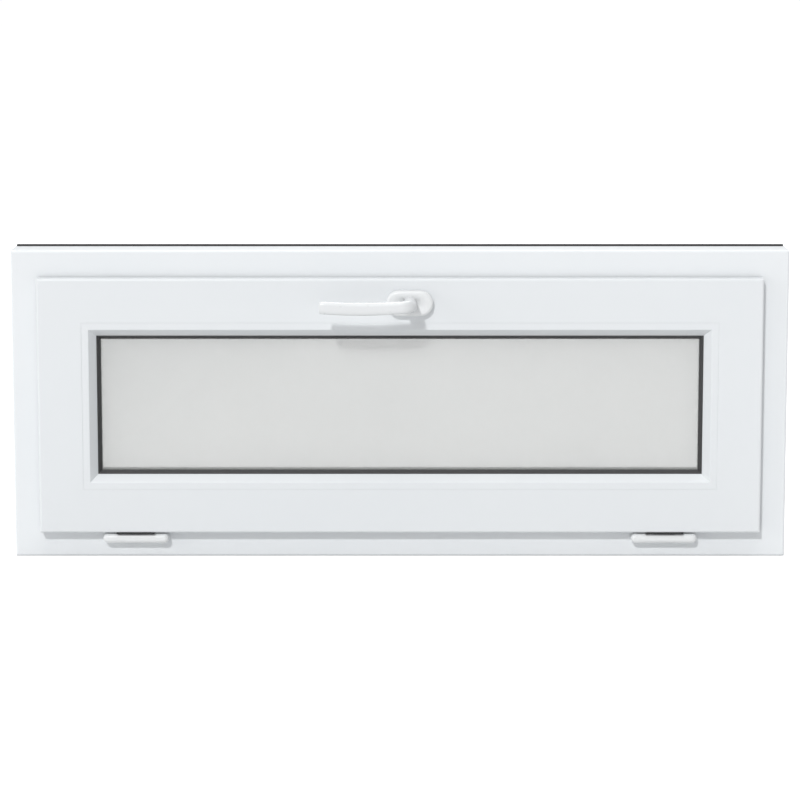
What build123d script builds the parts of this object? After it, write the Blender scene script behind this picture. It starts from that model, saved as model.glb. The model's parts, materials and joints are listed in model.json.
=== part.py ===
"""Bottom-hinged tilt window in white PVC, with its glass unit, gear and stays.

X runs to the right as seen from the room, +Y to the outside and +Z up, in millimetres. The origin is
the middle of the frame's underside. A member's cross-section is drawn with local x running inwards
from the window's outer edge (its depth, w) and local y to the outside.
"""
from build123d import *
from math import asin, cos, hypot, pi, radians, sin, tan
import os

os.makedirs("parts", exist_ok=True)

# ---------------------------------------------------------------- overall
frame_w = 1000.0        # outside width of the frame
frame_h = 400.0         # outside height of the frame
frame_d = 60.0          # depth of the frame, room face to outside face
wall = 3.0              # wall of the hollow profiles
edge_r = 3.0            # rounded room edges
small_r = 1.5           # rounded outside edges

# ---------------------------------------------------------------- frame profile
leg_w = 42.5            # width of the frame on the room side
stop_w = 62.5           # width of the frame on the outside, with its stop
stop_t = 14.5           # thickness of the stop
steel_t = 1.5           # wall of the steel tubes
steel_gap = 0.2         # play of a tube in its chamber
steel_back = 8.0        # how far a tube stays back from the inner corner
mitre_gap = 0.05        # play between strips that meet at a corner

# ---------------------------------------------------------------- sash profile
reveal = 34.5           # frame left showing round the sash
rebate_air = 12.0       # air between frame and sash for the hardware
sash_proj = 18.0        # how far the sash stands out of the frame into the room
seal_gap = 3.5          # gap that a compression gasket fills
seal_free = 0.3         # play of a gasket before the gear pulls the sash in
body_w = 37.0           # width of the sash's main body
lip_w = 18.0            # width of the outside glazing lip
lip_t = 15.0            # thickness of the outside glazing lip
web_t = 3.0             # web between the room chamber and the steel chamber
groove_b = 12.0         # breadth of the hardware groove
groove_w = 13.0         # depth of the hardware groove
groove_off = 13.5       # from the back of the flange to the middle of the groove

# ---------------------------------------------------------------- glazing
pane_t = 4.0            # each pane
cavity_t = 16.0         # gas space
glaze_t = 3.0           # glazing gasket, on either side of the unit
glass_air = 5.0         # from the sash body to the unit's edge
spacer_w = 7.0          # height of the spacer bar
sealant_w = 3.5         # edge sealant outside the spacer
gasket_show = 5.0       # gasket standing out past the bead
gasket_lip = 2.8        # thickness of its lip in front of the bead's back
bead_drop = 0.25        # bead face behind the sash face
bead_flat = 9.0         # flat part of the bead's face
bead_toe = 3.0          # straight toe of the bead at the glass
bead_joint_r = 0.35     # bead's edge along the sash
bead_brow_r = 1.6       # where its face turns into the bevel
bead_wall = 1.8
foot_w = 1.9            # clip foot of the bead
foot_t = 3.4
foot_gap = 0.1
block_l = 100.0         # glazing blocks
block_in = 200.0        # middle of a block from the frame's side

# ---------------------------------------------------------------- sealing strip on the head
strip_t = 2.3
strip_d = 8.0
strip_back = 2.5        # from the outside face
strip_short = 1.4       # stops short of each end

# ---------------------------------------------------------------- hinges
hinge_in = 158.0        # middle of each hinge from the frame's side
hinge_out = 9.0         # axis in front of the frame's room face
hinge_drop = 8.7        # axis below the sash's bottom edge
pin_r = 2.5
run_gap = 0.05          # radial running clearance of a pin or journal
leaf_l = 49.0
leaf_t = 1.8
knuckle_r = 4.3
neck_out = 4.3          # back face of the neck behind the axis
lug_t = 5.0
lug_r = 4.5
side_gap = 0.3          # end play between moving faces
plate_t = 3.0
cover_l = 85.0
cover_r = 6.25
cover_t = 1.2
cover_front_r = 5.6
screw_r = 2.0
head_r = 3.8
tap_gap = 0.05

# ---------------------------------------------------------------- handle and gear
handle_x = 12.5
backset = 11.0          # handle axis below the sash's top side
rosette_l = 60.0
rosette_h = 33.0
rosette_t = 10.0
rosette_r = 16.4
base_t = 2.5
cap_t = 1.6
screw_pitch = 43.0      # standard spacing of a window handle's screws
journal_r = 8.0
neck_r = 9.0
lever_gap = 42.0        # from the sash face to the back of the lever
lever_t = 13.0
lever_h = 16.2
lever_tip_h = 15.6
lever_bow = 1.9         # how far the grip bows down
lever_l = 114.5         # handle axis to the tip
lever_end = 9.8         # handle axis to the rounded end behind it
spindle_a = 7.0
module = 1.0
teeth = 15
rack_add = 0.7          # short rack addendum, so that the tips don't undercut
backlash = 0.25
pinion_t = 8.0
pinion_hub_r = 6.0
case_b = 11.8
case_air = 0.6
case_wall = 2.0
rod_b = 9.2
rod_top = 0.3           # play under the faceplate
rod_end_left = 30.0     # rod short of the faceplate's ends
rod_end_right = 20.0
plate_b = 16.0
face_t = 2.0
face_end = 15.5         # faceplate short of the sash's corner
cam_in = 200.0          # each cam from the frame's side
cam_stem_r = 2.5
cam_r = 4.0
cam_low = 1.0           # underside of the cam's head above the faceplate
cam_h = 5.0
keep_t = 2.0
keep_lip_t = 4.0
keep_air = 0.7          # from the cam to the lip behind which it slides
keep_free = 1.3         # from the parked cam to the end of the lip
keep_low = 0.6          # lip above the highest reach of the sash's outside corner

# ---------------------------------------------------------------- side stays
stay_in = 116.0         # top of the rail's slot below the frame's top
stay_tilt = 28.0        # tilt at which the stay's pin reaches the end of its slot
arm_b = 12.0
arm_t = 2.5
rail_t = 3.0
rail_b = 16.0
slot_gap = 0.7          # play of the arm's pin in the rail
arm_gap = 0.6           # arm clear of the rail
boss_r = 5.0
stay_plate_t = 2.0

# ---------------------------------------------------------------- fixing holes in the jambs
fix_r = 4.1
fix_in = 100.0          # each hole from the frame's end

# ---------------------------------------------------------------- drain slots outside, in the sill
drain_l = 28.0
drain_h = 5.0
drain_up = 3.0          # above the floor of the sill's chamber
drain_in = 260.0        # middle of each slot from the frame's side

# ================================================================ derived places
room_y = -frame_d / 2
rear_y = frame_d / 2
stop_y = rear_y - stop_t
side_w = leg_w + rebate_air                  # outer side of the sash body
inner_w = side_w + body_w                    # inner side of the sash body
lip_edge_w = inner_w + lip_w
front_y = room_y - sash_proj                 # room face of the sash
flange_y = room_y - seal_gap                 # back of the sash's flange
back_y = stop_y - seal_gap                   # outside face of the sash
lip_y = back_y - lip_t                       # glazing face of the lip
unit_back_y = lip_y - glaze_t
unit_t = 2 * pane_t + cavity_t
unit_front_y = unit_back_y - unit_t
bead_back_y = unit_front_y - glaze_t
bead_front_y = front_y + bead_drop
groove_y = flange_y + groove_off
groove_low_y = groove_y - groove_b / 2
groove_high_y = groove_y + groove_b / 2
steel_y0 = groove_high_y + web_t             # room side of the sash's steel chamber
foot_y = bead_back_y - 2.0
hinge_y = room_y - hinge_out
hinge_z = reveal - hinge_drop
handle_z = frame_h - side_w - backset
hinge_x = frame_w / 2 - hinge_in
cam_x = frame_w / 2 - cam_in
block_x = frame_w / 2 - block_in
sash_side_x = frame_w / 2 - side_w
face_half = sash_side_x - face_end
rod_left = face_half - rod_end_left
rod_right = face_half - rod_end_right
rebate_x = frame_w / 2 - leg_w
sash_top_z = frame_h - side_w
rebate_z = frame_h - leg_w


# ================================================================ helpers
def member_plane(side):
    """Section plane, length and mitre planes of one member: sill, head, left or right."""
    half = frame_w / 2
    if side == "bottom":
        plane = Plane(origin=(half, 0, 0), x_dir=(0, 0, 1), z_dir=(-1, 0, 0))
        return plane, frame_w, ((-half, 0, 0), (1, 0, -1)), ((half, 0, 0), (-1, 0, -1))
    if side == "top":
        plane = Plane(origin=(-half, 0, frame_h), x_dir=(0, 0, -1), z_dir=(1, 0, 0))
        return plane, frame_w, ((-half, 0, frame_h), (1, 0, 1)), ((half, 0, frame_h), (-1, 0, 1))
    if side == "left":
        plane = Plane(origin=(-half, 0, 0), x_dir=(1, 0, 0), z_dir=(0, 0, 1))
        return plane, frame_h, ((-half, 0, 0), (-1, 0, 1)), ((-half, 0, frame_h), (-1, 0, -1))
    plane = Plane(origin=(half, 0, frame_h), x_dir=(-1, 0, 0), z_dir=(0, 0, -1))
    return plane, frame_h, ((half, 0, 0), (1, 0, 1)), ((half, 0, frame_h), (1, 0, -1))


def outline(points, mode=Mode.ADD):
    """A closed polygon in the open sketch."""
    Polygon(*points, align=None, mode=mode)


def mitre(ends):
    """Cut both ends of the open part along their mitre planes."""
    for origin, normal in ends:
        split(bisect_by=Plane(origin=origin, z_dir=normal), keep=Keep.TOP)


def frame_member(side):
    """One member of the outer frame: two chambers, a stop outside, welded at its mitres."""
    plane, length, first, last = member_plane(side)
    with BuildPart() as member:
        with BuildSketch(plane) as section:
            outline([(0, room_y), (leg_w, room_y), (leg_w, stop_y), (stop_w, stop_y),
                     (stop_w, rear_y), (0, rear_y)])
            outer = section.vertices().group_by(Axis.X)[0]
            fillet(outer.sort_by(Axis.Y)[0], edge_r)
            fillet(section.vertices().group_by(Axis.Y)[-1], small_r)
            outline([(wall, room_y + wall), (leg_w - wall, room_y + wall),
                     (leg_w - wall, stop_y - wall), (wall, stop_y - wall)], Mode.SUBTRACT)
            outline([(wall, stop_y + wall), (stop_w - wall, stop_y + wall),
                     (stop_w - wall, rear_y - wall), (wall, rear_y - wall)], Mode.SUBTRACT)
        extrude(amount=length)
        mitre((first, last))
    return member


def sash_member(side):
    """One member of the sash: flange, body with hardware groove and bead groove, glazing lip."""
    plane, length, first, last = member_plane(side)
    with BuildPart() as member:
        with BuildSketch(plane) as section:
            outline([(reveal, front_y), (inner_w, front_y), (inner_w, lip_y), (lip_edge_w, lip_y),
                     (lip_edge_w, back_y), (side_w, back_y), (side_w, flange_y), (reveal, flange_y)])
            fillet(section.vertices().group_by(Axis.X)[0].sort_by(Axis.Y)[0], edge_r)
            fillet(section.vertices().group_by(Axis.Y)[-1], small_r)
            # room chamber, running out into the flange
            outline([(reveal + wall, front_y + wall), (inner_w - wall, front_y + wall),
                     (inner_w - wall, groove_high_y), (side_w + groove_w + wall, groove_high_y),
                     (side_w + groove_w + wall, groove_low_y - wall), (side_w + wall, groove_low_y - wall),
                     (side_w + wall, flange_y - wall), (reveal + wall, flange_y - wall)], Mode.SUBTRACT)
            # steel chamber
            outline([(side_w + wall, steel_y0), (inner_w - wall, steel_y0),
                     (inner_w - wall, back_y - wall), (side_w + wall, back_y - wall)], Mode.SUBTRACT)
            # lip chamber
            outline([(inner_w, lip_y + wall), (lip_edge_w - wall, lip_y + wall),
                     (lip_edge_w - wall, back_y - wall), (inner_w, back_y - wall)], Mode.SUBTRACT)
            # hardware groove
            outline([(side_w, groove_low_y), (side_w + groove_w, groove_low_y),
                     (side_w + groove_w, groove_high_y), (side_w, groove_high_y)], Mode.SUBTRACT)
            # groove that the bead clips into
            foot_end = inner_w - foot_w - foot_gap
            foot_low = foot_y - foot_t - foot_gap
            outline([(foot_end, foot_low), (inner_w, foot_low),
                     (inner_w, foot_y + foot_gap), (foot_end, foot_y + foot_gap)], Mode.SUBTRACT)
        extrude(amount=length)
        mitre((first, last))
    return member


def bead_member(side):
    """One glazing bead: flat face, bevel down to the glass, clip foot, hollow."""
    plane, length, first, last = member_plane(side)
    slope_x = lip_edge_w - inner_w - bead_flat
    with BuildPart() as member:
        with BuildSketch(plane) as section:
            outline([(inner_w, bead_front_y), (inner_w + bead_flat, bead_front_y),
                     (lip_edge_w, bead_back_y - bead_toe), (lip_edge_w, bead_back_y), (inner_w, bead_back_y)])
            joint = section.vertices().group_by(Axis.Y)[0].sort_by(Axis.X)[0]
            fillet(joint, bead_joint_r)
            brow = section.vertices().group_by(Axis.Y)[0].sort_by(Axis.X)[-1]
            fillet(brow, bead_brow_r)
            outline([(inner_w - foot_w, foot_y - foot_t), (inner_w, foot_y - foot_t),
                     (inner_w, foot_y), (inner_w - foot_w, foot_y)])
            outline([(inner_w + bead_wall, bead_front_y + bead_wall),
                     (inner_w + bead_flat - 0.5 * bead_wall, bead_front_y + bead_wall),
                     (inner_w + bead_flat + 0.55 * slope_x, bead_back_y - bead_wall),
                     (inner_w + bead_wall, bead_back_y - bead_wall)], Mode.SUBTRACT)
        extrude(amount=length)
        mitre((first, last))
    return member


def ring(w_out, w_in, y_room, y_far):
    """Four strips round the window, cut at their mitres, between two depths from the outer edge."""
    half = frame_w / 2
    with BuildSketch(Plane.XZ.offset(-y_room)) as flat:
        for low in (True, False):
            z_out = w_out if low else frame_h - w_out
            z_in = w_in if low else frame_h - w_in
            Polygon((-half + w_out + mitre_gap, z_out), (half - w_out - mitre_gap, z_out),
                    (half - w_in - mitre_gap, z_in), (-half + w_in + mitre_gap, z_in), align=None)
        for sign in (-1, 1):
            x_out = sign * (half - w_out)
            x_in = sign * (half - w_in)
            Polygon((x_out, w_out + mitre_gap), (x_in, w_in + mitre_gap),
                    (x_in, frame_h - w_in - mitre_gap), (x_out, frame_h - w_out - mitre_gap), align=None)
    extrude(flat.sketch, amount=y_room - y_far)


def tube_y(w0, w1, y0, y1, back):
    """Four square steel tubes, one in each member, cut square short of the corners."""
    half_x = frame_w / 2 - w1 - back
    half_z = frame_h / 2 - w1 - back
    for side, half in (("bottom", half_x), ("top", half_x), ("left", half_z), ("right", half_z)):
        plane, length, _, _ = member_plane(side)
        with BuildSketch(plane.offset(length / 2 - half)) as tube:
            with Locations(((w0 + w1) / 2, (y0 + y1) / 2)):
                RectangleRounded(w1 - w0, y1 - y0, steel_t)
                Rectangle(w1 - w0 - 2 * steel_t, y1 - y0 - 2 * steel_t, mode=Mode.SUBTRACT)
        extrude(tube.sketch, amount=2 * half)


def countersunk_screws(places, length):
    """Countersunk screws. A place is the centre of the head's flat face and the way the screw points."""
    with BuildPart() as screws:
        for point, way in places:
            spot = Plane(origin=point, z_dir=way)
            with Locations(spot.location):
                Cone(head_r, screw_r, head_r - screw_r, align=(Align.CENTER, Align.CENTER, Align.MIN))
                Cylinder(screw_r, length, align=(Align.CENTER, Align.CENTER, Align.MIN))
            with BuildSketch(spot):
                Rectangle(3.6, 0.9)
                Rectangle(0.9, 3.6)
            extrude(amount=1.2, mode=Mode.SUBTRACT)
    return screws


def screw_bores(places, depth):
    """Plain bores for the screws at those places."""
    for point, way in places:
        with Locations(Plane(origin=point, z_dir=way).location):
            Cylinder(screw_r + tap_gap, depth, align=(Align.CENTER, Align.CENTER, Align.MIN),
                     mode=Mode.SUBTRACT)


def screw_seats(places, depth):
    """Countersunk holes in the plate that carries those screws' heads."""
    for point, way in places:
        back = tuple(-value for value in way)
        with Locations(Plane(origin=point, z_dir=back).location):
            CounterSinkHole(screw_r + tap_gap, head_r + tap_gap, depth, counter_sink_angle=90)


def save(builder, name):
    """Label the piece and write its file."""
    builder.part.label = name
    export_step(builder.part, f"parts/{name}.step")


# ================================================================ where the screws go
bracket_l = cover_l - 2 * cover_t - 2 * cover_r + 2 * (cover_r - cover_t)
bracket_screw = cover_l / 2 - cover_r - 1.0
hinge_places = [((side * hinge_x + end * bracket_screw, room_y - plate_t, hinge_z), (0, 1, 0))
                for side in (-1, 1) for end in (-1, 1)]
leaf_low_z = reveal - leaf_t
leaf_screw_y = (front_y + flange_y) / 2
leaf_places = [((side * hinge_x + end * leaf_l / 3, leaf_screw_y, leaf_low_z), (0, 0, 1))
               for side in (-1, 1) for end in (-1, 1)]
face_screw_x = (face_half + rod_right) / 2 + 2.0
face_top_z = sash_top_z + face_t
face_places = [((side * face_screw_x, groove_y, face_top_z), (0, 0, -1)) for side in (-1, 1)]
rosette_places = [((handle_x + side * screw_pitch / 2, front_y - base_t, handle_z), (0, 1, 0))
                  for side in (-1, 1)]
pitch_r = module * teeth / 2
stroke = pitch_r * pi / 2
keep_low_z = rebate_z - keep_t
lip_near = keep_free + cam_r                 # lip's near end from the parked cam's axis
lip_far = stroke + cam_r
keep_left = lip_far + 12.0
keep_right = 16.0
keep_places = [((side * cam_x + shift, groove_y, keep_low_z), (0, 0, 1))
               for side in (-1, 1) for shift in (-keep_left + 6.0, keep_right - 6.0)]
slot_top_z = frame_h - stay_in
stay_rise = (slot_top_z - hinge_z) / 2       # pivot half way up to the slot's top
stay_l = stay_rise                           # arm, hole to hole
pivot_z = hinge_z + stay_rise
stay_e = groove_y - hinge_y                  # slot line behind the hinge axis
tilt = radians(stay_tilt)
stay_sin = (stay_rise * sin(tilt) - stay_e * (1 - cos(tilt))) / stay_l
stay_turn = tilt + asin(stay_sin)            # arm's turn at full tilt
end_y = stay_e - stay_l * sin(stay_turn)
end_z = stay_rise + stay_l * cos(stay_turn)
slot_low_z = hinge_z + end_z * cos(tilt) - end_y * sin(tilt)


# ================================================================ outer frame
for side, name in (("bottom", "frame_sill"), ("top", "frame_head"),
                   ("left", "frame_jamb_left"), ("right", "frame_jamb_right")):
    member = frame_member(side)
    with BuildPart() as piece:
        add(member.part)
        if side == "bottom":
            screw_bores(hinge_places, plate_t + wall + 1.0)
            with BuildSketch(Plane.XZ.offset(-rear_y)):
                with Locations(*[(sign * (frame_w / 2 - drain_in), wall + drain_up + drain_h / 2)
                                 for sign in (-1, 1)]):
                    SlotOverall(drain_l, drain_h)
            extrude(amount=wall + 1.0, mode=Mode.SUBTRACT)
        if side == "top":
            screw_bores(keep_places, keep_t + wall + 1.0)
        if side in ("left", "right"):
            sign = -1 if side == "left" else 1
            with BuildSketch(Plane.YZ.offset(sign * frame_w / 2)):
                with Locations((0, fix_in), (0, frame_h - fix_in)):
                    Circle(fix_r)
            extrude(amount=-sign * leg_w, mode=Mode.SUBTRACT)
            stay_places = [((sign * (rebate_x - stay_plate_t), groove_y, pivot_z + shift), (sign, 0, 0))
                           for shift in (-14.0, 14.0)]
            screw_bores(stay_places, stay_plate_t + wall + 1.0)
    save(piece, name)

with BuildPart() as frame_steels:
    tube_y(wall + steel_gap, leg_w - wall - steel_gap, room_y + wall + steel_gap,
           stop_y - wall - steel_gap, steel_back)
    screw_bores(hinge_places, plate_t + wall + steel_gap + steel_t + 1.0)
    screw_bores(keep_places, keep_t + wall + steel_gap + steel_t + 1.0)
    for sign in (-1, 1):
        with BuildSketch(Plane.YZ.offset(sign * frame_w / 2)):
            with Locations((0, fix_in), (0, frame_h - fix_in)):
                Circle(fix_r)
        extrude(amount=-sign * leg_w, mode=Mode.SUBTRACT)
        screw_bores([((sign * (rebate_x - stay_plate_t), groove_y, pivot_z + shift), (sign, 0, 0))
                     for shift in (-14.0, 14.0)], stay_plate_t + wall + steel_gap + steel_t + 1.0)
save(frame_steels, "frame_steels")

with BuildPart() as sealing_strip:
    with BuildSketch(Plane.XY.offset(frame_h)):
        with Locations((0, rear_y - strip_back - strip_d / 2)):
            Rectangle(frame_w - 2 * strip_short, strip_d)
    extrude(amount=strip_t)
    fillet(sealing_strip.edges().filter_by(Axis.X).group_by(Axis.Z)[-1], strip_t / 3)
save(sealing_strip, "sealing_strip")

with BuildPart() as frame_gasket:
    ring(side_w + 1.0, stop_w - 1.0, back_y + seal_free, stop_y)
save(frame_gasket, "frame_gasket")

# ================================================================ sash
case_half = pitch_r + module + case_air + case_wall
case_low_z = handle_z - case_half
for side, name in (("bottom", "sash_bottom_rail"), ("top", "sash_top_rail"),
                   ("left", "sash_stile_left"), ("right", "sash_stile_right")):
    member = sash_member(side)
    with BuildPart() as piece:
        add(member.part)
        if side == "bottom":
            screw_bores(leaf_places, leaf_t + wall + 1.0)
        if side == "top":
            # pocket for the gear case, through the groove's floor
            with BuildSketch(Plane.XZ.offset(-groove_low_y)):
                with Locations((handle_x, sash_top_z)):
                    Rectangle(2 * case_half + 0.4, 2 * (groove_w + wall + 1.0))
            extrude(amount=-groove_b, mode=Mode.SUBTRACT)
            # bore for the spindle and the two bores for the rosette's screws
            with BuildSketch(Plane.XZ.offset(-front_y)):
                with Locations((handle_x, handle_z)):
                    Circle(spindle_a * 0.85)
            extrude(amount=-(groove_low_y - front_y), mode=Mode.SUBTRACT)
            screw_bores(rosette_places, base_t + wall + 1.0)
            for (x, y, z), way in face_places:
                with Locations(Plane(origin=(x, y, sash_top_z), z_dir=way).location):
                    Cylinder(screw_r + tap_gap, groove_w + wall + 1.0,
                             align=(Align.CENTER, Align.CENTER, Align.MIN), mode=Mode.SUBTRACT)
        if side in ("left", "right"):
            sign = -1 if side == "left" else 1
            screw_bores([((sign * (sash_side_x + rail_t), groove_y, z), (-sign, 0, 0))
                         for z in (slot_low_z - 12.0, slot_top_z + 12.0)], rail_t + groove_w + wall + 1.0)
    save(piece, name)

with BuildPart() as sash_steels:
    tube_y(side_w + wall + steel_gap, inner_w - wall - steel_gap, steel_y0 + steel_gap,
           back_y - wall - steel_gap, steel_back)
save(sash_steels, "sash_steels")

with BuildPart() as sash_gasket:
    ring(reveal + 1.5, leg_w - 1.5, flange_y, room_y - seal_free)
save(sash_gasket, "sash_gasket")

# ================================================================ glass unit and beads
with BuildPart() as glass_room:
    ring_w = frame_w - 2 * (inner_w + glass_air)
    ring_h = frame_h - 2 * (inner_w + glass_air)
    with BuildSketch(Plane.XZ.offset(-unit_front_y)):
        with Locations((0, frame_h / 2)):
            Rectangle(ring_w, ring_h)
    extrude(amount=-pane_t)
save(glass_room, "glass_room_pane")

with BuildPart() as glass_outside:
    with BuildSketch(Plane.XZ.offset(-(unit_back_y - pane_t))):
        with Locations((0, frame_h / 2)):
            Rectangle(ring_w, ring_h)
    extrude(amount=-pane_t)
save(glass_outside, "glass_outside_pane")

with BuildPart() as glass_spacer:
    spacer_at = inner_w + glass_air + sealant_w
    ring(spacer_at, spacer_at + spacer_w, unit_front_y + pane_t, unit_back_y - pane_t)
save(glass_spacer, "glass_spacer")

with BuildPart() as glass_sealant:
    ring(inner_w + glass_air, spacer_at, unit_front_y + pane_t, unit_back_y - pane_t)
save(glass_sealant, "glass_sealant")

with BuildPart() as gasket_room:
    ring(spacer_at, lip_edge_w + gasket_show, bead_back_y, unit_front_y)
    ring(lip_edge_w, lip_edge_w + gasket_show - gasket_lip, bead_back_y - gasket_lip, bead_back_y)
save(gasket_room, "glazing_gasket_room")

with BuildPart() as gasket_outside:
    ring(spacer_at, lip_edge_w + 2.5, unit_back_y, lip_y)
save(gasket_outside, "glazing_gasket_outside")

with BuildPart() as blocks:
    block_y = (unit_front_y + unit_back_y) / 2
    for x in (-block_x, block_x):
        for z in (inner_w + glass_air / 2, frame_h - inner_w - glass_air / 2):
            with Locations((x, block_y, z)):
                Box(block_l, unit_t - 2.0, glass_air)
    for x in (-1, 1):
        with Locations((x * (frame_w / 2 - inner_w - glass_air / 2), block_y, frame_h / 2)):
            Box(glass_air, unit_t - 2.0, block_l * 0.6)
save(blocks, "glazing_blocks")

for side in ("bottom", "top", "left", "right"):
    save(bead_member(side), f"bead_{side}")


# ================================================================ hinges
def hinge_bracket(x0):
    """Plate on the frame's face with two lugs for the pin."""
    with BuildPart() as bracket:
        with BuildSketch(Plane.XZ.offset(-room_y)):
            with Locations((x0, hinge_z)):
                SlotOverall(cover_l - 2 * cover_t - 0.2, 2 * (cover_r - cover_t) - 0.2)
        extrude(amount=plate_t)
        for end in (-1, 1):
            near = x0 + end * (leaf_l / 2 + side_gap)
            with BuildSketch(Plane.YZ.offset(near)):
                with Locations((hinge_y, hinge_z)):
                    Circle(lug_r)
                with Locations(((hinge_y + room_y - plate_t) / 2, hinge_z)):
                    Rectangle(room_y - plate_t - hinge_y, 2 * lug_r)
                with Locations((hinge_y, hinge_z)):
                    Circle(pin_r, mode=Mode.SUBTRACT)
            extrude(amount=end * lug_t)
        screw_seats([place for place in hinge_places if abs(place[0][0] - x0) < cover_l], plate_t)
    return bracket


def hinge_leaf(x0):
    """Sash leaf: knuckle round the pin, neck behind it and plate under the sash."""
    with BuildPart() as leaf:
        with BuildSketch(Plane.YZ.offset(x0 - leaf_l / 2)):
            with Locations((hinge_y, hinge_z)):
                Circle(knuckle_r)
            with Locations((hinge_y + neck_out - leaf_t / 2, (hinge_z + leaf_low_z) / 2)):
                Rectangle(leaf_t, leaf_low_z - hinge_z)
            with Locations(((front_y + flange_y) / 2, leaf_low_z + leaf_t / 2)):
                Rectangle(flange_y - front_y - 1.6, leaf_t)
            with Locations((hinge_y, hinge_z)):
                Circle(pin_r + run_gap, mode=Mode.SUBTRACT)
        extrude(amount=leaf_l)
        screw_seats([place for place in leaf_places if abs(place[0][0] - x0) < cover_l], leaf_t)
    return leaf


def hinge_cover(x0):
    """Hollow pill over the bracket, open behind, with a slot on top for the leaf's neck."""
    with BuildPart() as cover:
        with BuildSketch(Plane.XZ.offset(-room_y)):
            with Locations((x0, hinge_z)):
                SlotOverall(cover_l, 2 * cover_r)
        extrude(amount=hinge_out + cover_r)
        fillet(cover.faces().sort_by(Axis.Y)[0].edges(), cover_front_r)
        offset(amount=-cover_t, openings=cover.faces().sort_by(Axis.Y)[-1])
        with BuildSketch(Plane.YZ.offset(x0 - leaf_l / 2 - 2 * side_gap)):
            with Locations((hinge_y + neck_out / 2 - 0.35, hinge_z + cover_r)):
                Rectangle(neck_out + 1.7, 2 * (cover_r - 3.0))
        extrude(amount=leaf_l + 4 * side_gap, mode=Mode.SUBTRACT)
    return cover


for sign, tag in ((-1, "left"), (1, "right")):
    x0 = sign * hinge_x
    save(hinge_bracket(x0), f"hinge_bracket_{tag}")
    save(hinge_leaf(x0), f"hinge_leaf_{tag}")
    save(hinge_cover(x0), f"hinge_cover_{tag}")
    with BuildPart() as pin:
        with BuildSketch(Plane.YZ.offset(x0 - leaf_l / 2 - side_gap - lug_t)):
            with Locations((hinge_y, hinge_z)):
                Circle(pin_r)
        extrude(amount=leaf_l + 2 * side_gap + 2 * lug_t)
    save(pin, f"hinge_pin_{tag}")

save(countersunk_screws(hinge_places, 16.0), "hinge_bracket_screws")
save(countersunk_screws(leaf_places, 11.0), "hinge_leaf_screws")

# ================================================================ handle
lever_back_y = front_y - lever_gap
lever_front_y = lever_back_y - lever_t
with BuildPart() as handle_lever:
    # grip, slightly bowed, rounded behind the axis and cut straight at the tip
    with BuildSketch(Plane.XZ.offset(-lever_back_y)):
        with BuildLine():
            tip_x = handle_x - lever_l
            low_end = (handle_x, handle_z - lever_h / 2)
            high_end = (handle_x, handle_z + lever_h / 2)
            ThreePointArc(low_end, (handle_x + lever_end, handle_z), high_end)
            tip_high = (tip_x, handle_z + lever_tip_h / 2)
            tip_low = (tip_x, handle_z - lever_tip_h / 2)
            ThreePointArc(high_end, (handle_x - lever_l / 2, handle_z + lever_h / 2 - lever_bow), tip_high)
            Line(tip_high, tip_low)
            ThreePointArc(tip_low, (handle_x - lever_l / 2, handle_z - lever_h / 2 - lever_bow), low_end)
        make_face()
    extrude(amount=lever_t)
    fillet(handle_lever.faces().sort_by(Axis.Y)[0].edges(), 3.0)
    fillet(handle_lever.faces().sort_by(Axis.Y)[-1].edges(), 2.0)
    # neck down to its journal in the rosette's base
    with BuildSketch(Plane.XZ.offset(-(lever_back_y - 2.0))):
        with Locations((handle_x, handle_z)):
            Circle(neck_r)
    extrude(amount=-(lever_gap + 2.0 - base_t - side_gap))
    with BuildSketch(Plane.XZ.offset(-(front_y - base_t - side_gap))):
        with Locations((handle_x, handle_z)):
            Circle(journal_r)
    extrude(amount=-(base_t + side_gap - 0.2))
    # square socket for the spindle
    with BuildSketch(Plane.XZ.offset(-(front_y + 1.0))):
        with Locations((handle_x, handle_z)):
            Rectangle(spindle_a + 2 * run_gap, spindle_a + 2 * run_gap)
    extrude(amount=lever_gap + 1.0, mode=Mode.SUBTRACT)
save(handle_lever, "handle_lever")

with BuildPart() as handle_spindle:
    with BuildSketch(Plane.XZ.offset(-(lever_back_y + 0.5))):
        with Locations((handle_x, handle_z)):
            Rectangle(spindle_a, spindle_a)
    extrude(amount=-(groove_y + case_b / 2 - lever_back_y - 0.5))
save(handle_spindle, "handle_spindle")

with BuildPart() as rosette_base:
    with BuildSketch(Plane.XZ.offset(-front_y)):
        with Locations((handle_x, handle_z)):
            RectangleRounded(rosette_l - 2 * cap_t - 0.2, rosette_h - 2 * cap_t - 0.2, rosette_r - cap_t)
            Circle(journal_r + run_gap, mode=Mode.SUBTRACT)
    extrude(amount=base_t)
    screw_seats(rosette_places, base_t)
save(rosette_base, "rosette_base")

with BuildPart() as rosette_cap:
    with BuildSketch(Plane.XZ.offset(-front_y)):
        with Locations((handle_x, handle_z)):
            RectangleRounded(rosette_l, rosette_h, rosette_r)
    extrude(amount=rosette_t)
    fillet(rosette_cap.faces().sort_by(Axis.Y)[0].edges(), 3.0)
    offset(amount=-cap_t, openings=rosette_cap.faces().sort_by(Axis.Y)[-1])
    with BuildSketch(Plane.XZ.offset(-front_y)):
        with Locations((handle_x, handle_z)):
            Circle(neck_r + side_gap)
    extrude(amount=rosette_t, mode=Mode.SUBTRACT)
save(rosette_cap, "rosette_cap")

save(countersunk_screws(rosette_places, 14.0), "rosette_screws")

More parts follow.
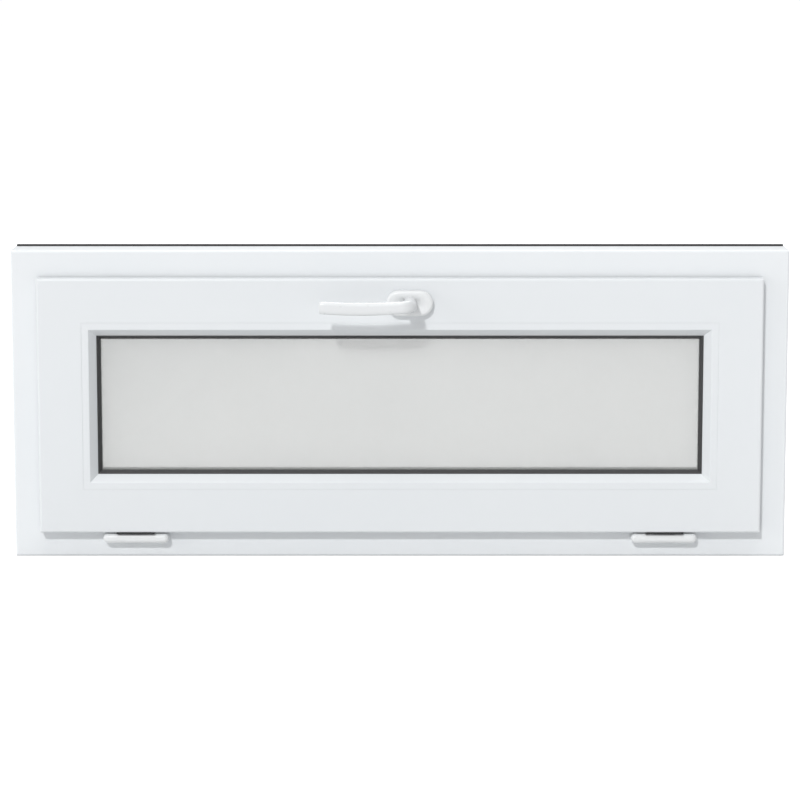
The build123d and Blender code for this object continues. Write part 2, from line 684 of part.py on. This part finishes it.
# ================================================================ gear
pinion_y0 = groove_y - pinion_t / 2
case_y0 = groove_y - case_b / 2
with BuildPart() as gear_pinion:
    root_r = pitch_r - 1.25 * module
    tip_r = pitch_r + module
    with BuildSketch(Plane.XZ.offset(-pinion_y0)):
        with Locations((handle_x, handle_z)):
            Circle(root_r)
        half_base = pi * module / 4 - backlash / 2 + (pitch_r - root_r) * tan(radians(14))
        half_tip = pi * module / 4 - backlash / 2 - module * tan(radians(26))
        for number in range(teeth):
            turn = 90 + 360 / teeth * number
            with Locations(Location((handle_x, handle_z), turn)):
                Polygon((root_r - 0.6, -half_base), (tip_r, -half_tip), (tip_r, half_tip),
                        (root_r - 0.6, half_base), align=None)
    extrude(amount=-pinion_t)
    with BuildSketch(Plane.XZ.offset(-case_y0)):
        with Locations((handle_x, handle_z)):
            Circle(pinion_hub_r)
    extrude(amount=-case_b)
    with BuildSketch(Plane.XZ.offset(-case_y0)):
        with Locations((handle_x, handle_z)):
            Rectangle(spindle_a + 2 * run_gap, spindle_a + 2 * run_gap)
    extrude(amount=-case_b, mode=Mode.SUBTRACT)
save(gear_pinion, "gear_pinion")

rod_high_z = sash_top_z - rod_top
pitch_z = handle_z + pitch_r
root_z = pitch_z + 1.25 * module
with BuildPart() as gear_case:
    with BuildSketch(Plane.XZ.offset(-case_y0)):
        with Locations((handle_x, (case_low_z + sash_top_z) / 2)):
            Rectangle(2 * case_half, sash_top_z - case_low_z)
    extrude(amount=-case_b)
    with BuildSketch(Plane.XZ.offset(-(pinion_y0 - side_gap))):
        with Locations((handle_x, handle_z)):
            Circle(tip_r + case_air)
    extrude(amount=-(pinion_t + 2 * side_gap), mode=Mode.SUBTRACT)
    with BuildSketch(Plane.YZ.offset(handle_x - case_half)):
        with Locations((groove_y, (pitch_z - rack_add - side_gap + sash_top_z) / 2)):
            Rectangle(rod_b + 2 * side_gap, sash_top_z - pitch_z + rack_add + side_gap)
    extrude(amount=2 * case_half, mode=Mode.SUBTRACT)
    with BuildSketch(Plane.XZ.offset(-case_y0)):
        with Locations((handle_x, handle_z)):
            Circle(pinion_hub_r + run_gap)
    extrude(amount=-case_b, mode=Mode.SUBTRACT)
save(gear_case, "gear_case")

rack_pitch = pi * module
with BuildPart() as drive_rod:
    with BuildSketch(Plane.XZ.offset(-(groove_y - rod_b / 2))):
        with Locations(((rod_right - rod_left) / 2, (root_z + rod_high_z) / 2)):
            Rectangle(rod_right + rod_left, rod_high_z - root_z)
        half_root = rack_pitch / 4 - backlash / 2 + 1.25 * module * tan(radians(20))
        half_add = rack_pitch / 4 - backlash / 2 - rack_add * tan(radians(20))
        for number in range(-2, 7):
            mid = handle_x + (number + 0.5) * rack_pitch
            Polygon((mid - half_root, root_z), (mid - half_add, pitch_z - rack_add),
                    (mid + half_add, pitch_z - rack_add), (mid + half_root, root_z), align=None)
    extrude(amount=-rod_b)
save(drive_rod, "drive_rod")

with BuildPart() as faceplate:
    with BuildSketch(Plane.XY.offset(sash_top_z)):
        with Locations((0, groove_y)):
            RectangleRounded(2 * face_half, plate_b, 3.0)
        for x in (-cam_x, cam_x):
            with Locations((x - stroke / 2, groove_y)):
                SlotOverall(stroke + 2 * cam_stem_r + 4 * side_gap, 2 * cam_stem_r + 2 * side_gap,
                            mode=Mode.SUBTRACT)
    extrude(amount=face_t)
    screw_seats(face_places, face_t)
save(faceplate, "faceplate")
save(countersunk_screws(face_places, face_t + groove_w + wall + 1.0), "faceplate_screws")

with BuildPart() as locking_cams:
    for x in (-cam_x, cam_x):
        with BuildSketch(Plane.XY.offset(rod_high_z)):
            with Locations((x, groove_y)):
                Circle(cam_stem_r)
        extrude(amount=rod_top + face_t + cam_low + cam_h)
        with BuildSketch(Plane.XY.offset(face_top_z + cam_low)):
            with Locations((x, groove_y)):
                Circle(cam_r)
        extrude(amount=cam_h)
    chamfer(locking_cams.edges().filter_by(GeomType.CIRCLE).group_by(Axis.Z)[-1], 0.6)
save(locking_cams, "locking_cams")

keep_lip_y = groove_y - cam_r - keep_air
lip_low_z = hinge_z + hypot(back_y - hinge_y, sash_top_z - hinge_z) + keep_low
with BuildPart() as keeps:
    for x in (-cam_x, cam_x):
        middle = x + (keep_right - keep_left) / 2
        with BuildSketch(Plane.XY.offset(keep_low_z)):
            with Locations((middle, groove_y)):
                RectangleRounded(keep_right + keep_left, plate_b, 2.0)
        extrude(amount=keep_t)
        with BuildSketch(Plane.XY.offset(lip_low_z)):
            with Locations((x - (lip_near + lip_far) / 2, keep_lip_y - keep_lip_t / 2)):
                Rectangle(lip_far - lip_near, keep_lip_t)
        extrude(amount=rebate_z - lip_low_z)
    screw_seats(keep_places, keep_t)
save(keeps, "keeps")
save(countersunk_screws(keep_places, 14.0), "keep_screws")

# ================================================================ side stays
for sign, tag in ((-1, "left"), (1, "right")):
    plate_x = sign * (rebate_x - stay_plate_t)
    rail_x = sign * (sash_side_x + rail_t)
    arm_x = rail_x + sign * arm_gap              # sash side of the arm
    arm_far = arm_x + sign * arm_t
    with BuildPart() as stay_bracket:
        with BuildSketch(Plane.YZ.offset(plate_x)):
            with Locations((groove_y, pivot_z)):
                RectangleRounded(plate_b, 40.0, 3.0)
        extrude(amount=sign * stay_plate_t)
        with BuildSketch(Plane.YZ.offset(plate_x)):
            with Locations((groove_y, pivot_z)):
                Circle(boss_r)
        extrude(amount=sign * (abs(arm_far) + side_gap - abs(plate_x)))
        with BuildSketch(Plane.YZ.offset(sign * rebate_x)):
            with Locations((groove_y, pivot_z)):
                Circle(pin_r)
        extrude(amount=-sign * (rebate_x - abs(arm_far) + side_gap), mode=Mode.SUBTRACT)
        screw_seats([((plate_x, groove_y, pivot_z + shift), (sign, 0, 0)) for shift in (-14.0, 14.0)],
                    stay_plate_t)
    save(stay_bracket, f"stay_bracket_{tag}")
    with BuildPart() as stay_arm:
        with BuildSketch(Plane.YZ.offset(arm_x)):
            with Locations((groove_y, (pivot_z + slot_top_z) / 2)):
                SlotCenterToCenter(stay_l, arm_b, rotation=90)
            with Locations((groove_y, pivot_z)):
                Circle(pin_r + run_gap, mode=Mode.SUBTRACT)
            with Locations((groove_y, slot_top_z)):
                Circle(pin_r, mode=Mode.SUBTRACT)
        extrude(amount=sign * arm_t)
    save(stay_arm, f"stay_arm_{tag}")
    with BuildPart() as stay_pin:
        with BuildSketch(Plane.YZ.offset(sign * rebate_x)):
            with Locations((groove_y, pivot_z)):
                Circle(pin_r)
        extrude(amount=-sign * (rebate_x - abs(arm_x) + 0.3))
        with BuildSketch(Plane.YZ.offset(arm_x - sign * 0.3)):
            with Locations((groove_y, pivot_z)):
                Circle(pin_r + 1.6)
        extrude(amount=-sign * 1.0)
    save(stay_pin, f"stay_pivot_pin_{tag}")
    with BuildPart() as stay_slider:
        with BuildSketch(Plane.YZ.offset(arm_far + sign * 0.8)):
            with Locations((groove_y, slot_top_z)):
                Circle(pin_r)
        extrude(amount=-sign * (0.8 + arm_t + arm_gap + rail_t - 0.5))
        with BuildSketch(Plane.YZ.offset(arm_far)):
            with Locations((groove_y, slot_top_z)):
                Circle(pin_r + 1.6)
        extrude(amount=sign * 0.8)
    save(stay_slider, f"stay_slider_{tag}")
    with BuildPart() as stay_rail:
        with BuildSketch(Plane.YZ.offset(rail_x)):
            with Locations((groove_y, (slot_low_z + slot_top_z) / 2)):
                RectangleRounded(rail_b, slot_top_z - slot_low_z + 36.0, 3.0)
                SlotCenterToCenter(slot_top_z - slot_low_z + 2 * slot_gap, 2 * (pin_r + slot_gap),
                                   rotation=90, mode=Mode.SUBTRACT)
        extrude(amount=-sign * rail_t)
        screw_seats([((rail_x, groove_y, z), (-sign, 0, 0)) for z in (slot_low_z - 12.0, slot_top_z + 12.0)],
                    rail_t)
    save(stay_rail, f"stay_rail_{tag}")

save(countersunk_screws([((sign * (rebate_x - stay_plate_t), groove_y, pivot_z + shift), (sign, 0, 0))
                         for sign in (-1, 1) for shift in (-14.0, 14.0)], 14.0), "stay_bracket_screws")
save(countersunk_screws([((sign * (sash_side_x + rail_t), groove_y, z), (-sign, 0, 0))
                         for sign in (-1, 1) for z in (slot_low_z - 12.0, slot_top_z + 12.0)],
                        rail_t + groove_w + wall + 1.0), "stay_rail_screws")
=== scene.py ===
"""Studio scene of a white PVC tilt window: materials, soft-edged pieces, light and camera.

The window's own frame has X to the right seen from the room, +Y to the outside and Z up, with the
origin in the middle of the frame's underside. Blender works in metres. The functions that shape the
handle and the gasket work in millimetres, and piece() turns them to metres.
"""

import json
import math

import bmesh
import bpy
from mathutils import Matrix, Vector


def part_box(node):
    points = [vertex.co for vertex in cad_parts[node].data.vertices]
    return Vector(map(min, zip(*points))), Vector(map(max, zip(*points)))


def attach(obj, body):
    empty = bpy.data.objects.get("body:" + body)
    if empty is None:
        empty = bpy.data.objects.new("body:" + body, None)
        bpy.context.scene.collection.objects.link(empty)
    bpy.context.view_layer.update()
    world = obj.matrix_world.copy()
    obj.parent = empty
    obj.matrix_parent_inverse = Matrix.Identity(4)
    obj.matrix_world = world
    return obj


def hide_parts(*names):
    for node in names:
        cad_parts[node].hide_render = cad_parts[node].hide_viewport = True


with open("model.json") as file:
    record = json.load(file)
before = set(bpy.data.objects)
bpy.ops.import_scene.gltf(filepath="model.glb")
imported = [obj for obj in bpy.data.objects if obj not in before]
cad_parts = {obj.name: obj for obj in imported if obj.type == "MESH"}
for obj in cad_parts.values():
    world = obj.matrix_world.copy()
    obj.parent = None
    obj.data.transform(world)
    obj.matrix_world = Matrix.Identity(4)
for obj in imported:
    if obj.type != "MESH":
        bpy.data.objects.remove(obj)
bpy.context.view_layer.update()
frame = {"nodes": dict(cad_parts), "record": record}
MM = 0.001


# ------------------------------------------------------------------ shader sums
class Wire:
    """One socket of a node tree. Sums on it add Math nodes."""

    def __init__(self, nodes, socket):
        self.nodes = nodes
        self.socket = socket

    def sum(self, operation, *values):
        settings = {"operation": operation}
        return self.nodes.node("ShaderNodeMath", settings, dict(enumerate(values)))

    def __add__(self, other):
        return self.sum("ADD", self, other)

    def __radd__(self, other):
        return self.sum("ADD", other, self)

    def __sub__(self, other):
        return self.sum("SUBTRACT", self, other)

    def __rsub__(self, other):
        return self.sum("SUBTRACT", other, self)

    def __mul__(self, other):
        return self.sum("MULTIPLY", self, other)

    def __rmul__(self, other):
        return self.sum("MULTIPLY", other, self)


class Nodes:
    """A node tree, and the one way in which a node comes into it."""

    def __init__(self, tree):
        self.tree = tree

    def node(self, kind, settings=None, sockets=None, output=0):
        """A node of a type, with its settings made before its sockets. Gives one of its outputs."""
        made = self.tree.nodes.new(kind)
        for key, value in (settings or {}).items():
            setattr(made, key, value)
        for key, value in (sockets or {}).items():
            if isinstance(value, Wire):
                self.tree.links.new(value.socket, made.inputs[key])
            else:
                made.inputs[key].default_value = value
        return Wire(self, made.outputs[output])

    def seen_and_cast(self, seen, cast):
        """One shader for what the camera sees, another for the light thrown on the window."""
        ray = self.node("ShaderNodeLightPath", output="Is Camera Ray")
        both = self.node("ShaderNodeMixShader", None, {0: ray, 1: cast, 2: seen})
        end = next(n for n in self.tree.nodes if n.type.startswith("OUTPUT"))
        self.tree.links.new(both.socket, end.inputs["Surface"])


class Finish(Nodes):
    """A material with one Principled shader, made from plain words."""

    def __init__(self, name, **constants):
        self.material = bpy.data.materials.new(name)
        self.material.use_nodes = True
        super().__init__(self.material.node_tree)
        self.shader = next(n for n in self.tree.nodes if n.type == "BSDF_PRINCIPLED")
        for socket, value in constants.items():
            self.shader.inputs[socket.replace("_", " ")].default_value = value
        self.place = self.node("ShaderNodeTexCoord", output="Object")

    def noise(self, scale, stretch=(1.0, 1.0, 1.0), detail=3.0):
        where = self.node("ShaderNodeMapping", None, {"Vector": self.place, "Scale": stretch})
        sockets = {"Vector": where, "Scale": scale, "Detail": detail}
        return self.node("ShaderNodeTexNoise", None, sockets)

    def blend(self, factor, first, second):
        """Colour between two, by a factor. A Mix node's colour sockets are 0, 6, 7 and 2."""
        sockets = {0: factor, 6: (*first, 1.0), 7: (*second, 1.0)}
        return self.node("ShaderNodeMix", {"data_type": "RGBA"}, sockets, output=2)

    def feed(self, socket, wire):
        self.tree.links.new(wire.socket, self.shader.inputs[socket])

    def bump(self, height, distance, strength):
        sockets = {"Height": height, "Distance": distance, "Strength": strength}
        self.feed("Normal", self.node("ShaderNodeBump", None, sockets))


# ------------------------------------------------------------------ finishes
# Scales are in waves per metre, bump depths in metres.
PLASTIC_IOR = 1.5
RUBBER_IOR = 1.52
GLASS_IOR = 1.52


def plastic(name, low, high, rough, grain=1400.0, depth=0.00002, coat=0.0):
    """Moulded or extruded plastic: a breath of unevenness in colour and sheen, a fine grain."""
    made = Finish(name, IOR=PLASTIC_IOR, Coat_Weight=coat)
    tint = made.noise(scale=7.0)
    sheen = made.noise(scale=60.0)
    made.feed("Base Color", made.blend(tint, low, high))
    made.feed("Roughness", sheen * 0.10 + rough)
    made.bump(made.noise(grain, detail=2.0), distance=depth, strength=0.35)
    return made.material


def rubber(name, low, high, rough=0.48):
    """Black gasket: satin, with a fine dull bloom."""
    made = Finish(name, IOR=RUBBER_IOR)
    bloom = made.noise(scale=240.0, detail=5.0)
    made.feed("Base Color", made.blend(bloom, low, high))
    made.feed("Roughness", bloom * 0.25 + rough)
    made.bump(made.noise(scale=2600.0), distance=0.00003, strength=0.5)
    return made.material


def metal(name, low, high, rough, stretch=(1.0, 1.0, 1.0), spangle=90.0):
    """Plated or galvanised steel: drawn lines along it and cloudy patches of plating."""
    made = Finish(name, Metallic=1.0)
    cloud = made.noise(spangle, detail=4.0)
    made.feed("Base Color", made.blend(cloud, low, high))
    lines = made.noise(scale=900.0, stretch=stretch)
    made.feed("Roughness", cloud * 0.18 + lines * 0.12 + rough)
    made.bump(lines, distance=0.00002, strength=0.4)
    return made.material


def float_glass(name, low, high, alpha):
    """Clear grey-green pane with a soft painted reflection that darkens it in slants towards an
    upper corner.
    """
    made = Finish(name, IOR=GLASS_IOR)
    slant = made.node("ShaderNodeMapping", None, {
        "Vector": made.place, "Rotation": (0.0, math.radians(35), 0.0), "Scale": (2.6, 0.3, 1.1)})
    painted_reflection_slants = made.node("ShaderNodeTexNoise", None, {"Vector": slant, "Scale": 1.6, "Detail": 1.5})
    across = made.node("ShaderNodeSeparateXYZ", None, {0: made.place}, output=0)
    rise = made.node("ShaderNodeSeparateXYZ", None, {0: made.place}, output=2)
    corner = made.node("ShaderNodeMapRange", None, {
        "Value": rise * 1.3 - across, "From Min": 0.45, "From Max": 1.0})
    # painted reflection: darker colour and less clearness in broad slants and towards the upper
    # left corner
    depth = painted_reflection_slants * 0.45 + corner * 0.55
    smear = made.noise(scale=18.0)
    made.feed("Base Color", made.blend(depth, high, low))
    made.feed("Alpha", depth * 0.05 + alpha)
    made.feed("Roughness", smear * 0.03 + 0.02)
    return made.material


# The room gasket gets a lighter copy of the black gasket rubber: painted light.
PAINTED_LIGHT_GASKET = rubber("room_gasket_black_painted_light", (0.032, 0.032, 0.033), (0.054, 0.054, 0.055), 0.40)
# The sash and beads get a darker copy of the frame's white PVC: painted shade.
PAINTED_SHADE_SASH_PVC = plastic("white_pvc_sash_painted_shade", (0.765, 0.79, 0.81), (0.79, 0.81, 0.825), 0.30)
FINISH = {
    "white_pvc": plastic("white_pvc", (0.80, 0.825, 0.845), (0.83, 0.85, 0.865), 0.30),
    "white_plastic": plastic("white_nylon", (0.80, 0.815, 0.82), (0.83, 0.84, 0.845), 0.28,
                             grain=900.0),
    "white_metal": plastic("white_powder_coat", (0.76, 0.775, 0.785), (0.79, 0.80, 0.81), 0.24,
                           grain=1900.0, depth=0.00003, coat=0.2),
    "black_rubber": rubber("black_gasket", (0.018, 0.018, 0.019), (0.036, 0.036, 0.037)),
    "sealant": rubber("edge_sealant", (0.03, 0.03, 0.032), (0.05, 0.05, 0.052), 0.6),
    "black_metal": plastic("black_coat", (0.012, 0.012, 0.014), (0.022, 0.022, 0.024), 0.35,
                           grain=700.0, depth=0.00004),
    "block_plastic": plastic("grey_block", (0.20, 0.23, 0.28), (0.25, 0.28, 0.33), 0.45,
                             grain=500.0, depth=0.00005),
    "steel": metal("galvanised_steel", (0.42, 0.43, 0.45), (0.62, 0.63, 0.64), 0.32,
                   stretch=(0.05, 1.0, 1.0), spangle=45.0),
    "zinc_hardware": metal("zinc_plate", (0.55, 0.56, 0.58), (0.68, 0.69, 0.70), 0.22,
                           stretch=(0.08, 1.0, 1.0)),
    "screw_steel": metal("screw_plate", (0.52, 0.52, 0.53), (0.66, 0.66, 0.66), 0.20),
    "spacer_aluminium": metal("spacer_bar", (0.60, 0.61, 0.62), (0.72, 0.73, 0.74), 0.30,
                              stretch=(0.06, 1.0, 1.0)),
    "clear_glass": float_glass("float_glass", (0.565, 0.58, 0.57), (0.63, 0.64, 0.625), 0.33),
}
for part in frame["record"]["subparts"]:
    node, slot = part["node"], part["material_slot"]
    # sash and bead parts of white PVC take the darker copy, painted shade
    of_sash = slot == "white_pvc" and node.startswith(("sash_", "bead_"))
    shown = frame["nodes"][node]
    shown.data.materials.clear()
    shown.data.materials.append(PAINTED_SHADE_SASH_PVC if of_sash else FINISH[slot])


# ------------------------------------------------------------------ soft-edged pieces
def box_mm(node):
    """A node's lowest and highest corners at rest, in millimetres."""
    return tuple(Vector(corner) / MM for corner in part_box(node))


def piece(name, rings, slot, body, stands_for, closed=False, caps=False, smooth=True, finish=None):
    """A skin over rings of points in millimetres, each ring with as many points as the next.

    A closed skin's last ring meets its first. Caps close the two ends of one that is open.
    """
    mesh = bpy.data.meshes.new(name)
    skin = bmesh.new()
    rows = [[skin.verts.new(Vector(point) * MM) for point in ring] for ring in rings]
    count = len(rows[0])
    for row in range(len(rows) if closed else len(rows) - 1):
        near, far = rows[row], rows[(row + 1) % len(rows)]
        for at in range(count):
            nxt = (at + 1) % count
            skin.faces.new((near[at], near[nxt], far[nxt], far[at]))
    if caps:
        skin.faces.new(list(reversed(rows[0])))
        skin.faces.new(rows[-1])
    bmesh.ops.recalc_face_normals(skin, faces=skin.faces)
    for face in skin.faces:
        face.smooth = smooth
    skin.to_mesh(mesh)
    skin.free()
    made = bpy.data.objects.new(name, mesh)
    bpy.context.scene.collection.objects.link(made)
    mesh.materials.append(finish or FINISH[slot])
    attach(made, body)
    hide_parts(*stands_for)


pin_low, pin_high = box_mm("handle_spindle")
axis_x = (pin_low.x + pin_high.x) / 2
axis_z = (pin_low.z + pin_high.z) / 2


def between(first, last, share):
    return first + (last - first) * share


# Lever, in millimetres: halves of its section's height (along Z) and depth
GRIP_IN = 6.6              # from the lever's front to the middle of its grip
GRIP_HIGH = 7.75
GRIP_SWELL = 0.35          # more height in the middle of the grip
GRIP_DROP = 1.9            # how far the middle of the grip hangs below its ends
TIP_DEEP, GRIP_DEEP = 5.1, 6.5
BEND = 11.0                # radius of the elbow's middle line
BEND_HIGH, BEND_DEEP = 8.85, 8.8
GRIP_POWER, NECK_POWER = 3.2, 2.0     # 2 is an ellipse, more is squarer
TIP_RINGS = ((0.0, 0.80, 0.82), (0.6, 0.93, 0.94), (1.8, 1.0, 1.0))    # place, height, depth
GRIP_RINGS = 14
BEND_RINGS = 9
# the neck's radius at distances in front of its back end
NECK = ((26.8, 8.85), (13.8, 8.85), (5.3, 8.9), (4.2, 8.7), (2.7, 8.0), (0.0, 7.95))
ROUND = 32                 # points round a section


def oval(centre, half_z, half_deep, across, power):
    """A rounded section: half_deep runs along `across`, and half_z along Z."""
    ring = []
    for step in range(ROUND):
        turn = 2 * math.pi * step / ROUND
        c, s = math.cos(turn), math.sin(turn)
        u = math.copysign(abs(c) ** (2 / power), c) * half_deep
        v = math.copysign(abs(s) ** (2 / power), s) * half_z
        ring.append(centre + across * u + Vector((0, 0, 1)) * v)
    return ring


def lever():
    """Lever: straight cut tip, slightly bowed grip, elbow and round neck down to the rosette."""
    low, high = box_mm("handle_lever")
    grip_y = low.y + GRIP_IN
    grip = axis_x - BEND - low.x
    steps = [*TIP_RINGS, *((grip * k / GRIP_RINGS, 1.0, 1.0) for k in range(1, GRIP_RINGS + 1))]
    rings = []
    for place, size_z, size_y in steps:
        share = place / grip
        bow = math.sin(math.pi * share)
        centre = Vector((low.x + place, grip_y, axis_z - GRIP_DROP * bow))
        half_z = (GRIP_HIGH + GRIP_SWELL * bow) * size_z
        half_y = between(TIP_DEEP, GRIP_DEEP, share) * size_y
        rings.append(oval(centre, half_z, half_y, Vector((0, 1, 0)), GRIP_POWER))
    pivot = Vector((axis_x - BEND, grip_y + BEND, axis_z))
    for k in range(1, BEND_RINGS + 1):
        share = k / BEND_RINGS
        c, s = math.cos(math.pi / 2 * share), math.sin(math.pi / 2 * share)
        centre = pivot + Vector((BEND * s, -BEND * c, 0))
        half_z = between(GRIP_HIGH, BEND_HIGH, share)
        half_deep = between(GRIP_DEEP, BEND_DEEP, share)
        power = between(GRIP_POWER, NECK_POWER, share)
        rings.append(oval(centre, half_z, half_deep, Vector((-s, c, 0)), power))
    for forward, radius in NECK:
        centre = Vector((axis_x, high.y - forward, axis_z))
        rings.append(oval(centre, radius, radius, Vector((-1, 0, 0)), NECK_POWER))
    piece("lever", rings, "white_metal", "handle", ["handle_lever"], caps=True)


# Rosette, in millimetres
ROSETTE_END_POINTS = 24    # points round each of its two ends
ROSETTE_BACK = 1.6         # how far its back edge turns in
ROSETTE_WALL = 0.55        # the part of its depth that is straight
ROSETTE_DOME = 4.2         # how far the dome's edge comes in
ROSETTE_RINGS = 8
NECK_HOLE = 9.0            # radius
NECK_HOLE_DEEP = 1.6


def stadium(half_length, radius, y):
    """An outline with round ends in the window's plane, round the handle's axis."""
    straight = half_length - radius
    ring = []
    for side in (1, -1):
        for step in range(ROSETTE_END_POINTS):
            turn = -math.pi / 2 + math.pi * step / (ROSETTE_END_POINTS - 1)
            ring.append((axis_x + side * (straight + radius * math.cos(turn)), y,
                         axis_z + side * radius * math.sin(turn)))
    return ring


def rosette():
    """Rosette cap: low dome with round ends and a hole for the neck."""
    low, high = box_mm("rosette_cap")
    half_x = (high.x - low.x) / 2
    half_z = (high.z - low.z) / 2
    deep = high.y - low.y
    shoulder = high.y - deep * ROSETTE_WALL
    rings = [stadium(half_x - ROSETTE_BACK, half_z - ROSETTE_BACK, high.y),
             stadium(half_x, half_z, high.y), stadium(half_x, half_z, shoulder)]
    for k in range(1, ROSETTE_RINGS + 1):
        turn = math.pi / 2 * k / ROSETTE_RINGS
        inset = ROSETTE_DOME * (1 - math.cos(turn))
        y = shoulder - deep * (1 - ROSETTE_WALL) * math.sin(turn)
        rings.append(stadium(half_x - inset, half_z - inset, y))
    hole = []
    for x, _, z in rings[-1]:
        way = Vector((x - axis_x, 0, z - axis_z)).normalized() * NECK_HOLE
        hole.append((axis_x + way.x, low.y, axis_z + way.z))
    rings.append(hole)
    rings.append([(x, low.y + NECK_HOLE_DEEP, z) for x, _, z in hole])
    piece("rosette", rings, "white_plastic", "sash", ["rosette_cap"])


GASKET_SHOWS = 5.0         # width of gasket seen between the bead and the glass, in millimetres


def glazing_gasket():
    """Room-side gasket: a soft wedge from the bead's toe back to the glass, mitred at corners."""
    half = box_mm("frame_sill")[1].x
    top = box_mm("frame_head")[1].z
    low, high = box_mm("glazing_gasket_room")
    bead = box_mm("bead_left")[1]
    # the section as (distance in from the frame's outside, y) points
    outer, front, back = half - high.x, low.y, high.y
    toe = half + bead.x + 0.1
    tip = half + bead.x + GASKET_SHOWS
    behind_bead = bead.y - 0.05
    profile = [(outer, back), (outer, behind_bead), (toe, behind_bead), (toe, front + 0.5),
               (toe + 0.3, front + 0.1), (toe + 0.8, front), (toe + 1.4, front + 0.25),
               (tip - 0.9, back - 1.9), (tip - 0.2, back - 1.2), (tip, back - 0.6),
               (tip - 0.1, back)]
    rings = []
    for side, upper in ((-1, False), (1, False), (1, True), (-1, True)):
        rings.append([(side * (half - w), y, top - w if upper else w) for w, y in profile])
    # finished with the lighter copy of the gasket rubber, painted light
    piece("room_glazing_gasket", rings, "black_rubber", "sash", ["glazing_gasket_room"],
          closed=True, smooth=False, finish=PAINTED_LIGHT_GASKET)


lever()
rosette()
glazing_gasket()


# ------------------------------------------------------------------ floor, light and camera
WHITE = (1.0, 1.0, 1.0, 1.0)
FLOOR_SIZE = 30.0          # metres
FLOOR_GAP = 0.0005
FLOOR_CAST = (0.80, 0.80, 0.80, 1.0)     # the floor is duller in the light that it throws back
WORLD_CAST = (0.97, 0.985, 1.0, 1.0)


def studio_floor():
    mesh = bpy.data.meshes.new("studio_floor")
    plate = bmesh.new()
    bmesh.ops.create_grid(plate, x_segments=2, y_segments=2, size=FLOOR_SIZE)
    plate.to_mesh(mesh)
    plate.free()
    made = bpy.data.objects.new("studio_floor", mesh)
    made.location.z = -FLOOR_GAP
    bpy.context.scene.collection.objects.link(made)
    paint = Finish("floor_paint", Roughness=0.9, Emission_Strength=0.45, Emission_Color=WHITE)
    patches = paint.noise(scale=3.0)
    paint.feed("Base Color", paint.blend(patches, (0.93, 0.93, 0.93), (0.95, 0.95, 0.95)))
    cast = paint.node("ShaderNodeBsdfDiffuse", None, {"Color": FLOOR_CAST})
    paint.seen_and_cast(Wire(paint, paint.shader.outputs[0]), cast)
    mesh.materials.append(paint.material)


def studio_world():
    world = bpy.data.worlds.new("studio_world")
    bpy.context.scene.world = world
    world.use_nodes = True
    air = Nodes(world.node_tree)
    air.tree.nodes.remove(air.tree.nodes["Background"])
    cast = air.node("ShaderNodeBackground", None, {"Color": WORLD_CAST, "Strength": 0.345})
    seen = air.node("ShaderNodeBackground", None, {"Color": WHITE, "Strength": 1.02})
    air.seen_and_cast(seen, cast)
    bpy.context.scene.view_settings.view_transform = "Standard"
    bpy.context.scene.view_settings.look = "None"


def lamp(name, towards, energy, spread):
    """A far lamp whose light comes from a round patch of sky, `spread` degrees wide."""
    data = bpy.data.lights.new(name, "SUN")
    data.energy = energy
    data.angle = math.radians(spread)
    made = bpy.data.objects.new(name, data)
    made.rotation_mode = "QUATERNION"
    made.rotation_quaternion = Vector(towards).to_track_quat("-Z", "Y")
    bpy.context.scene.collection.objects.link(made)


def lights():
    left, down = math.radians(17.5), math.radians(36.5)
    forward = math.cos(down)
    key = (math.sin(left) * forward, math.cos(left) * forward, -math.sin(down))
    lamp("key_light", key, energy=1.42, spread=4.5)
    lamp("top_light", (0.0, 0.25, -0.97), energy=0.72, spread=40.0)
    lamp("side_light", (0.93, 0.34, -0.12), energy=0.50, spread=30.0)
    lamp("rim_light", (0.0, -0.75, -0.66), energy=1.4, spread=20.0)


def camera():
    """Long lens a little above the window, looking slightly down at its middle."""
    away, height = 3.25, 0.759
    look_down = math.radians(7.15)
    data = bpy.data.cameras.new("camera")
    data.sensor_width = 36.0
    data.lens = 114.75
    data.shift_y = -0.14
    data.clip_start = 0.1
    data.clip_end = 200.0
    made = bpy.data.objects.new("camera", data)
    made.location = (0.0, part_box("frame_sill")[0].y - away, height)
    made.rotation_euler = (math.pi / 2 - look_down, 0.0, 0.0)
    bpy.context.scene.collection.objects.link(made)
    bpy.context.scene.camera = made


studio_floor()
studio_world()
lights()
camera()
